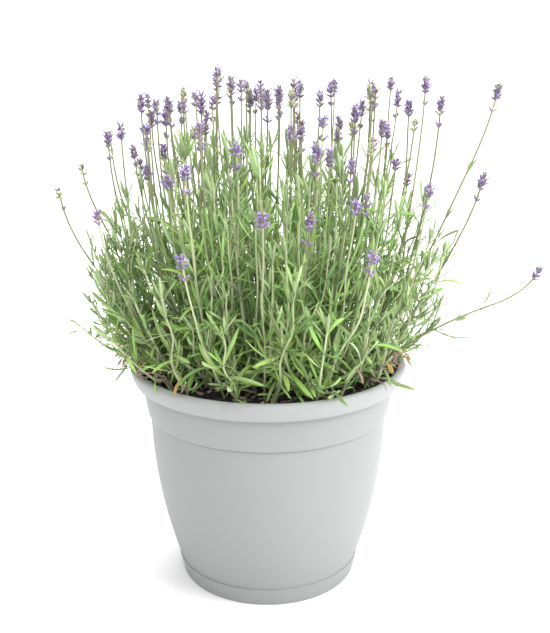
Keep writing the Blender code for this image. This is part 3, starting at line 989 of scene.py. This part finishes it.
# %% Main leafy shoots
for number, (node, line) in enumerate(shoot_lines.items(), 1):
    growth, rng = Growth(), np.random.default_rng(100 + number)
    leafy_shoot(growth, wavy(line, rng, 0.004), 0.045, rng)
    add_piece(f"lavender_shoot_{number:02d}", growth.mesh("shoot"), leaf_finish, "leaf", node)
print("main leafy shoots:", len(shoot_lines))


# %% [markdown]
# ## Calyces and florets
# A spike is a stack of whorls. In each whorl a few ribbed, grey-violet cups, the calyces, point
# outward and up, and from some of them a bright two-lipped floret opens. One cup and one floret are
# described as a few rings along an axis, and copies are set out round the stem.

# %% Flower forms
CUP_HEIGHTS = np.array([0.0, 0.14, 0.45, 0.80, 1.0, 0.92])
CUP_RADII = np.array([0.06, 0.15, 0.21, 0.20, 0.21, 0.10])
TUBE_HEIGHTS = np.array([0.0, 0.40, 0.72, 0.86, 0.80, 0.60])
TUBE_RADII = np.array([0.09, 0.11, 0.22, 0.36, 0.24, 0.08])


def cup_template(sides=6):
    """One calyx of unit height: a cup with ribs, closed at its mouth."""
    ribs = np.where(np.arange(sides) % 2, 1.10, 0.90)
    turns = 2 * np.pi * (np.arange(sides) + 0.5) / sides
    reach = CUP_RADII[:, None] * ribs
    return np.stack([reach * np.cos(turns), reach * np.sin(turns),
                     np.broadcast_to(CUP_HEIGHTS[:, None], reach.shape)], -1)


def floret_template(sides=10):
    """A tube that opens into two lips: two lobes above and three below, parted by notches."""
    turns = 2 * np.pi * (np.arange(sides) + 0.5) / sides
    lobes = 1 + 0.38 * np.cos(turns * 5)
    upper = np.where(np.sin(turns) > 0, 1.15, 0.9)
    open_part = np.clip((TUBE_RADII - 0.10) / 0.26, 0, 1)[:, None]
    reach = TUBE_RADII[:, None] * (1 + open_part * (lobes * upper - 1))
    height = TUBE_HEIGHTS[:, None] + 0.06 * open_part * np.sin(turns)
    return np.stack([reach * np.cos(turns), reach * np.sin(turns), height], -1)


def stamp(growth, template, origin, forward, size, tissue, rng):
    """A copy of the template at each origin, along each forward direction."""
    origin, forward, size = np.array(origin), unit(np.array(forward)), np.array(size)
    side = unit(np.cross(forward, [0.12, 0.31, 0.94]))
    front = np.cross(forward, side)
    axes = np.stack([side, front, forward], 1)
    points = np.einsum("krc,ncx->nkrx", template, axes) * size[:, None, None, None]
    growth.loft(origin[:, None, None] + points, tissue, rng)


CUP, OPEN_FLORET = cup_template(), floret_template()


# %% [markdown]
# ## A spike and its stalk
# The whorls sit close together at the top and make the blunt spike. Most stalks carry one more whorl a
# little below it. Each whorl has two small bracts, and some of them are dry. The stalk itself has leaf
# pairs low down and is almost bare above. Among the leaves it is leaf green, and above them dull olive.

# %% Flower stalks
WHORL_STEP = 0.0029
FULL_WHORL, TOP_WHORL, DRY_BRACTS = 6, 4, 0.3


def add_whorl(growth, leaves, line, at, rng, count, size, angle, opened, green):
    """Cups round the stem; opened and green are the shares in flower and not yet coloured."""
    point, up, side, front = stem_frame(line, at)
    start = rng.uniform(0, 2 * np.pi)
    turns = start + 2 * np.pi * (np.arange(count) + rng.normal(0, 0.13, count)) / count
    out = around(side, front, turns[:, None])
    lean = (angle + rng.normal(0, 0.14, count))[:, None]
    forward = up * np.cos(lean) + out * np.sin(lean)
    origin = point + out * 0.0007 + up * rng.normal(0, 0.0005, count)[:, None]
    cup = size * rng.uniform(0.85, 1.15, count)
    kinds = np.where(rng.uniform(0, 1, count) < green, STEM, CALYX)
    stamp(growth, CUP, origin, forward, cup, kinds, rng)
    bloom = rng.uniform(0, 1, count) < opened
    if bloom.any():
        mouth = origin[bloom] + unit(forward[bloom]) * (cup[bloom] * 0.72)[:, None]
        stamp(growth, OPEN_FLORET, mouth, forward[bloom] + out[bloom] * 0.2,
              size * rng.uniform(0.65, 0.95, bloom.sum()), FLORET, rng)
    for half in (0, np.pi):
        bract = DRY if rng.uniform() < DRY_BRACTS else STEM
        leaves.add(point, up, around(side, front, start + half), size * 0.75, size * 0.5, 1.1, -0.4,
                   bract, 0.3)


def add_spike(growth, leaves, line, length, size, rng, lower, opened, green):
    """Whorls from the tip of the line down; lower is how far below the spike one more whorl sits."""
    end = walk(line)[-1]
    count = max(2, round(length / WHORL_STEP))
    for whorl in range(count):
        share = whorl / max(count - 1, 1)
        at = end - length * (1 - share) * 0.92
        cups = FULL_WHORL if share < 0.8 else TOP_WHORL
        swell = 0.86 + 0.16 * math.sin(math.pi * min(1.0, share * 1.15))
        angle = 0.80 - 0.38 * share ** 1.3
        add_whorl(growth, leaves, line, at, rng, cups, size * swell, angle, opened, green)
    if lower:
        at, cups = end - length - lower, rng.integers(3, 6)
        add_whorl(growth, leaves, line, at, rng, cups, size, 0.6, opened * 0.6, green)


def turned_up(line, share=0.3, strength=0.75):
    """The same line with its end turned towards the light, while its tip stays in place."""
    steps = np.diff(line, axis=0)
    length = np.linalg.norm(steps, axis=1, keepdims=True)
    t = np.linspace(0, 1, len(steps))[:, None]
    lift = strength * np.clip((t - 1 + share) / share, 0, 1) ** 1.2
    steps = unit(unit(steps) * (1 - lift) + np.array([0.0, 0.0, 1.0]) * lift) * length
    turned = np.concatenate([line[:1], line[:1] + np.cumsum(steps, axis=0)])
    ease = np.linspace(0, 1, len(line))[:, None] ** 2
    return turned + (line[-1] - turned[-1]) * ease


OLIVE_FROM, BUSH_SIDE = 0.42, 0.17
LOW_STEM, TOP_STEM, WHOLE_STEM = (0.0011, 0.0010), (0.0010, 0.0009), (0.0012, 0.0009)


def stalk_stem(growth, line, rng, tissue):
    """An olive stem that is leaf green inside the bush. A stem of another tissue, or one that leans out
    of the bush, keeps one colour all the way."""
    low = max(2, int(np.searchsorted(line[:, 2], OLIVE_FROM)))
    if low < len(line) - 2 and tissue == STALK and abs(line[-1, 0]) < BUSH_SIDE:
        add_stem(growth, sunk(line[:low + 1]), *LOW_STEM, np.random.default_rng(low), LEAF_SAGE)
        add_stem(growth, line[low:], *TOP_STEM, rng, tissue)
    else:
        add_stem(growth, sunk(line), *WHOLE_STEM, rng, tissue)


def flower_stalk(growth, line, rng, spike, lower, leafy=0.58, size=0.0050, opened=0.35, green=0.14,
                 tissue=STALK):
    """A whole stalk: stem, low leaves, a spike, and its lower whorl. spike is the spike's length, lower
    the gap to the lower whorl, leafy the share of the stalk with leaves, and size a cup's height."""
    leaves = Leaves()
    line = over_lip(turned_up(wavy(line, rng, 0.0035)))
    length = walk(line)[-1]
    stalk_stem(growth, line, rng, tissue)
    leaf_pairs(leaves, line, 0.02, length * leafy, 0.032, 0.044, rng, -14)
    add_spike(growth, leaves, line, spike, size, rng, lower, opened, green)
    leaves.into(growth, rng)


# The three stalks furthest left are not in bloom yet. The ones in front have pale stems and short
# spikes in full bloom. The long ones that arch out to the right carry leaves further up.
FADED_LEFT, FRONT_BLOOM, ARCHING_RIGHT = -0.17, -0.05, 0.20
LOWER_GAP = 0.011

for number, (node, line) in enumerate(stalk_lines.items(), 1):
    growth, rng = Growth(), np.random.default_rng(300 + number)
    tip_x, tip_y, _ = line[-1]
    lower = 0.0 if number % 3 == 0 else LOWER_GAP
    if tip_x < FADED_LEFT:
        flower_stalk(growth, line, rng, 0.009, lower, 0.7, 0.0045, 0.0, 0.8)
    else:
        leafy = 0.74 if tip_x > ARCHING_RIGHT else 0.58
        in_front = tip_y < FRONT_BLOOM
        spike = rng.uniform(0.007, 0.011) if in_front else rng.uniform(0.010, 0.018)
        flower_stalk(growth, line, rng, spike, lower, leafy, opened=0.75 if in_front else 0.32,
                     tissue=STEM if in_front else STALK)
    add_piece(f"lavender_stalk_{number:02d}", growth.mesh("stalk"), stalk_finish, "flower_stalk", node)
print("main flower stalks:", len(stalk_lines))


# %% [markdown]
# ## Filling the bush
# The main stems only give the outline. Between them grow many thinner ones, set out by a rule: roots
# spread evenly over the crown, each stem leaning out in step with its distance from the middle, and
# ending under a dome. They are joined into a few bunches, each one piece, so the scene stays light.

# %% Filler shoots
SECTORS = 10
GOLDEN_TURN = np.pi * (3 - np.sqrt(5))
FRONT_REACH, BACK_REACH, FRONT_DRAW = 0.82, 0.93, 0.68
SIDE_SPREAD = 38.0


def sector_of(tip):
    return int((math.atan2(tip[1], tip[0]) / (2 * math.pi) + 0.5) * SECTORS) % SECTORS


def heading(turn):
    """The level direction at a turn round the pot."""
    return np.array([np.cos(turn), np.sin(turn), 0.0])


def planted(root):
    """The root on the soil; in front it is drawn back, so that some soil stays bare there."""
    if root[1] < 0:
        root[1] *= FRONT_DRAW
    root[2] = soil_height(root[0], root[1])
    return root


def spread(index, count, rng, roots, reach, low, high, side=None):
    """Root and tip of one stem of a sunflower pattern; the outer ones lean further and end lower."""
    out = np.sqrt((index + 0.5) / count)
    turn = index * GOLDEN_TURN + rng.normal(0, 0.15)
    if side is not None:
        turn = math.radians(side + SIDE_SPREAD * rng.uniform(-1, 1))
    root = planted(heading(turn) * (roots[0] + (roots[1] - roots[0]) * out))
    turn += rng.normal(0, 0.12)
    tip = heading(turn) * (reach[0] + (reach[1] - reach[0]) * out) * rng.uniform(0.88, 1.06)
    tip[1] *= FRONT_REACH if tip[1] < 0 else BACK_REACH
    tip[2] = high - (high - low) * out ** 3 * rng.uniform(0.3, 1.0) - 0.06 * rng.uniform(0, 1) ** 2
    return root, tip


def add_bunches(name, bunches, finish, slot):
    for number, growth in enumerate(bunches, 1):
        add_piece(f"{name}_{number:02d}", growth.mesh(name), finish, slot)


# Each row: count, root radii, tip radii, lowest and highest tip, leaf length, spacing of the pairs, side.
# The last two rows stand only round one side: loose, low tufts at the left and a few at the right.
# Far out to the left and right some shoots are left out, so that the background shows through there,
# and more at the left.
AIRY_FROM, AIRY_LEFT, AIRY_RIGHT = 0.100, 0.60, 0.35
SHOOT_ROWS = (
    (92, (0.004, 0.112), (0.010, 0.168), 0.425, 0.476, 0.044, 0.032, None),
    (58, (0.060, 0.118), (0.085, 0.190), 0.300, 0.435, 0.042, 0.030, None),
    (32, (0.090, 0.118), (0.120, 0.172), 0.270, 0.330, 0.034, 0.022, None),
    (28, (0.104, 0.120), (0.132, 0.200), 0.272, 0.400, 0.025, 0.012, 184.0),
    (8, (0.108, 0.120), (0.150, 0.196), 0.272, 0.380, 0.030, 0.015, -4.0),
)
bunches = [Growth() for _ in range(SECTORS)]
for row, (count, roots, reach, low, high, size, spacing, side) in enumerate(SHOOT_ROWS):
    for index in range(count):
        rng = np.random.default_rng(1000 * (row + 1) + index)
        root, tip = spread(index, count, rng, roots, reach, low, high, side)
        left_out = AIRY_LEFT if tip[0] < 0 else AIRY_RIGHT
        if side is None and abs(tip[0]) > AIRY_FROM and rng.uniform() < left_out:
            continue
        bow = rng.uniform(-0.02, 0.14) if side is None else rng.uniform(0.08, 0.34)
        line = wavy(bowed_line(root, tip, bow), rng, 0.003)
        # The side tufts get the dark leaf green, which also serves as painted shade.
        tissue = None if side is None else LEAF_DEEP
        leafy_shoot(bunches[sector_of(tip)], line, size * rng.uniform(0.8, 1.15), rng, spacing, tissue=tissue,
                    lift=0.25 if side is None else 0.4)
add_bunches("filler_shoots", bunches, leaf_finish, "leaf")
print("filler shoots: at most", sum(row[0] for row in SHOOT_ROWS), "in", SECTORS, "bunches")

# %% Filler stalks
FILLER_STALKS, BUD_SHARE = 66, 0.12
bunches = [Growth() for _ in range(SECTORS)]
for index in range(FILLER_STALKS):
    rng = np.random.default_rng(9000 + index)
    root, tip = spread(index, FILLER_STALKS, rng, (0.004, 0.105), (0.015, 0.172), 0.455, 0.545)
    line = bowed_line(root, tip, rng.uniform(0.0, 0.1), 30)
    lower = rng.choice([0.0, 0.008, 0.012])
    bud = rng.uniform() < BUD_SHARE
    flower_stalk(bunches[sector_of(tip)], line, rng, rng.uniform(0.008, 0.015), 0.0 if bud else lower,
                 size=0.0048, opened=0.0 if bud else rng.uniform(0.15, 0.4), green=0.7 if bud else 0.14)
add_bunches("filler_stalks", bunches, stalk_finish, "flower_stalk")
print("filler stalks:", FILLER_STALKS)


# %% [markdown]
# ## Leaves that hang over the lip
# Round the edge, short side shoots lie almost flat. Some let a broad, fresh leaf or two hang over the
# lip. In front they stand further apart, so that the soil shows between them.

# %% Rim leaves
RIM_SHOOTS, FRONT_GAPS = 46, 0.4
DOWN = np.array([0.0, 0.0, -1.0])


def drooping_leaves(growth, line, rng):
    """Broad leaves that leave the shoot outward and bend down past its tip."""
    leaves, length = Leaves(), walk(line)[-1]
    for _ in range(rng.integers(0, 3)):
        point = stem_frame(line, length * rng.uniform(0.5, 1.0))[0]
        turn = math.atan2(point[1], point[0]) + rng.normal(0, 0.4)
        size = rng.uniform(0.022, 0.032)
        tissue = LEAF_FRESH if point[0] < SUNNY_SIDE else LEAF_SAGE
        leaves.add(point, heading(turn), DOWN, size, size * 0.19, rng.uniform(-0.3, 0.3),
                   rng.uniform(0.7, 1.3), tissue, 0.1, rng.normal(0, 0.3))
    leaves.into(growth, rng)


def make_rim():
    growth = Growth()
    for index in range(RIM_SHOOTS):
        rng = np.random.default_rng(3000 + index)
        turn = 2 * np.pi * (index + rng.uniform(-0.4, 0.4)) / RIM_SHOOTS
        in_front = math.sin(turn) < -0.5
        if in_front and rng.uniform() < FRONT_GAPS:
            continue
        root_far, far = rng.uniform(0.088, 0.112), rng.uniform(0.116, 0.142)
        root = planted(heading(turn) * root_far)
        tip = heading(turn + rng.normal(0, 0.15)) * far
        tip[2] = rng.uniform(0.252, 0.290)
        kind = rng.choice([LEAF_FRESH, LEAF_FRESH, LEAF_SAGE])
        line = over_lip(bowed_line(root, tip, 0.0, 12))
        leafy_shoot(growth, line, rng.uniform(0.024, 0.032), rng, 0.015, kind, 0.008, -0.2)
        drooping_leaves(growth, line, rng)
    return growth.mesh("rim_leaves")


add_piece("rim_leaves", make_rim(), leaf_finish, "leaf")


# %% [markdown]
# ## Dry twigs and dead leaves
# Old wood stays at the edge: two reddish twigs without leaves, each with short curled side twigs, and
# patches of yellow or brown leaves and dry curls that have not dropped yet.

# %% Twigs
TWIG_STEM, WISP_STEM = (0.0012, 0.0005), (0.0006, 0.0003)
SIDE_TWIGS = 9


def add_wisp(growth, point, along, side, rng):
    """A thin dry curl that starts along one direction and winds to one side of it."""
    t = np.linspace(0, 1, 12)[:, None]
    reach, curl = rng.uniform(0.008, 0.018), rng.uniform(2.0, 5.0)
    winding = side * np.sin(curl * t) + np.cross(along, side) * (np.cos(curl * t) - 1)
    add_stem(growth, over_lip(point + reach * (t * along + 0.28 * winding)), *WISP_STEM, rng, BARK)


def make_twig(node, seed):
    growth, rng = Growth(), np.random.default_rng(seed)
    line = smooth_line(tube_line(node), 24)
    add_stem(growth, line, *TWIG_STEM, rng, BARK)
    length = walk(line)[-1]
    for _ in range(SIDE_TWIGS):
        point, up, side, front = stem_frame(line, length * rng.uniform(0.3, 0.98))
        out = around(side, front, rng.uniform(0, 2 * np.pi))
        add_wisp(growth, point, unit(up * 0.6 + out * 0.8), np.cross(up, out), rng)
    return growth.mesh("twig")


for number, node in enumerate(TWIGS):
    name = node.replace("dry_twig", "old_twig")
    add_piece(name, make_twig(node, 40 + number), twig_finish, "dry_twig", node)


# %% Dead leaves
# Each row: where round the rim, in degrees, how many dead leaves, and how many dry curls.
DEAD_PATCHES = ((188, 3, 10), (205, 3, 9), (232, 2, 3), (318, 2, 4),
                (333, 2, 8), (346, 2, 8), (70, 4, 4), (130, 3, 3))


def make_dead_leaves():
    growth, leaves, rng = Growth(), Leaves(), np.random.default_rng(77)
    for turn, leaf_count, curl_count in DEAD_PATCHES:
        for item in range(leaf_count + curl_count):
            away = heading(math.radians(turn + rng.normal(0, 5)))
            place = away * rng.uniform(0.132, 0.158) - DOWN * rng.uniform(0.254, 0.276)
            beside = np.array([-away[1], away[0], 0.0])
            if item < leaf_count:
                tissue = DRY if item % 2 == 0 else BARK
                leaves.add(place, away, DOWN, rng.uniform(0.014, 0.022), 0.0042, 0.5, 0.9, tissue, 0.3,
                           rng.normal(0, 1.0))
            else:
                along = unit(away * rng.uniform(0.2, 1) + beside * rng.normal(0, 0.7)
                             - DOWN * rng.uniform(-0.7, 0.5))
                add_wisp(growth, place, along, unit(np.cross(along, beside)), rng)
    leaves.into(growth, rng)
    return growth.mesh("dead_leaves")


add_piece("dead_leaves", make_dead_leaves(), twig_finish, "dry_twig")
